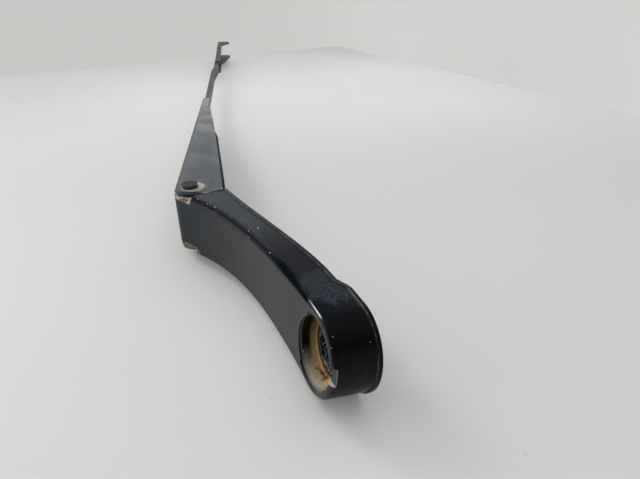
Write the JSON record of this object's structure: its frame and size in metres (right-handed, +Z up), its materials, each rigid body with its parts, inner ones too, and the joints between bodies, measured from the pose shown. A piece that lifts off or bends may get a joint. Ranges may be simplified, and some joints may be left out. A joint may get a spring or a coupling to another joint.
{
  "type": "wiper arm",
  "caption": "Windscreen wiper arm: cast curved head with a serrated spindle seat, hinged sheet steel channel under spring load, flat rod and a U-shaped blade adapter.",
  "frame": {"origin": "on the spindle axis at the underside of the boss", "axes": "+Z up the spindle axis, away from the drive; +X from the spindle towards the hinge and the blade end; Y completes a right-handed set"},
  "size_m": [0.5197, 0.036, 0.1205],
  "materials": {
    "head_paint": "satin",
    "sheet_paint": "satin",
    "bare_steel": "worn",
    "spring_steel": "satin",
    "bush": "machined",
    "washer": "matte"
  },
  "bodies": {
    "head": {"head": "head_paint", "hinge_bush_upper": "bush", "hinge_bush_lower": "bush", "hinge_washer_upper": "washer", "hinge_washer_lower": "washer", "hook_pin": "bare_steel"},
    "arm": {"arm_channel": "sheet_paint", "hinge_pin": "bare_steel", "arm_rod": "sheet_paint", "blade_adapter": "sheet_paint", "adapter_rivets": "bare_steel"},
    "link": {"tension_hook": "spring_steel", "tension_spring": "spring_steel"}
  },
  "joints": [
    {"name": "arm_lift", "type": "hinge", "parent": "head", "child": "arm", "pos_m": [0.087, 0, 0.0297], "axis": [0, -0.9925, 0.1219], "range_deg": [0, 85]},
    {"name": "hook_swing", "type": "hinge", "parent": "head", "child": "link", "pos_m": [0.08344, -0.00098, 0.02168], "axis": [0, -0.9925, 0.1219], "range_deg": [0, 81], "deforming": ["tension_spring"]}
  ],
  "couplings": [
    {"joint": "hook_swing", "follows": "arm_lift", "ratio": 0.9445}
  ]
}
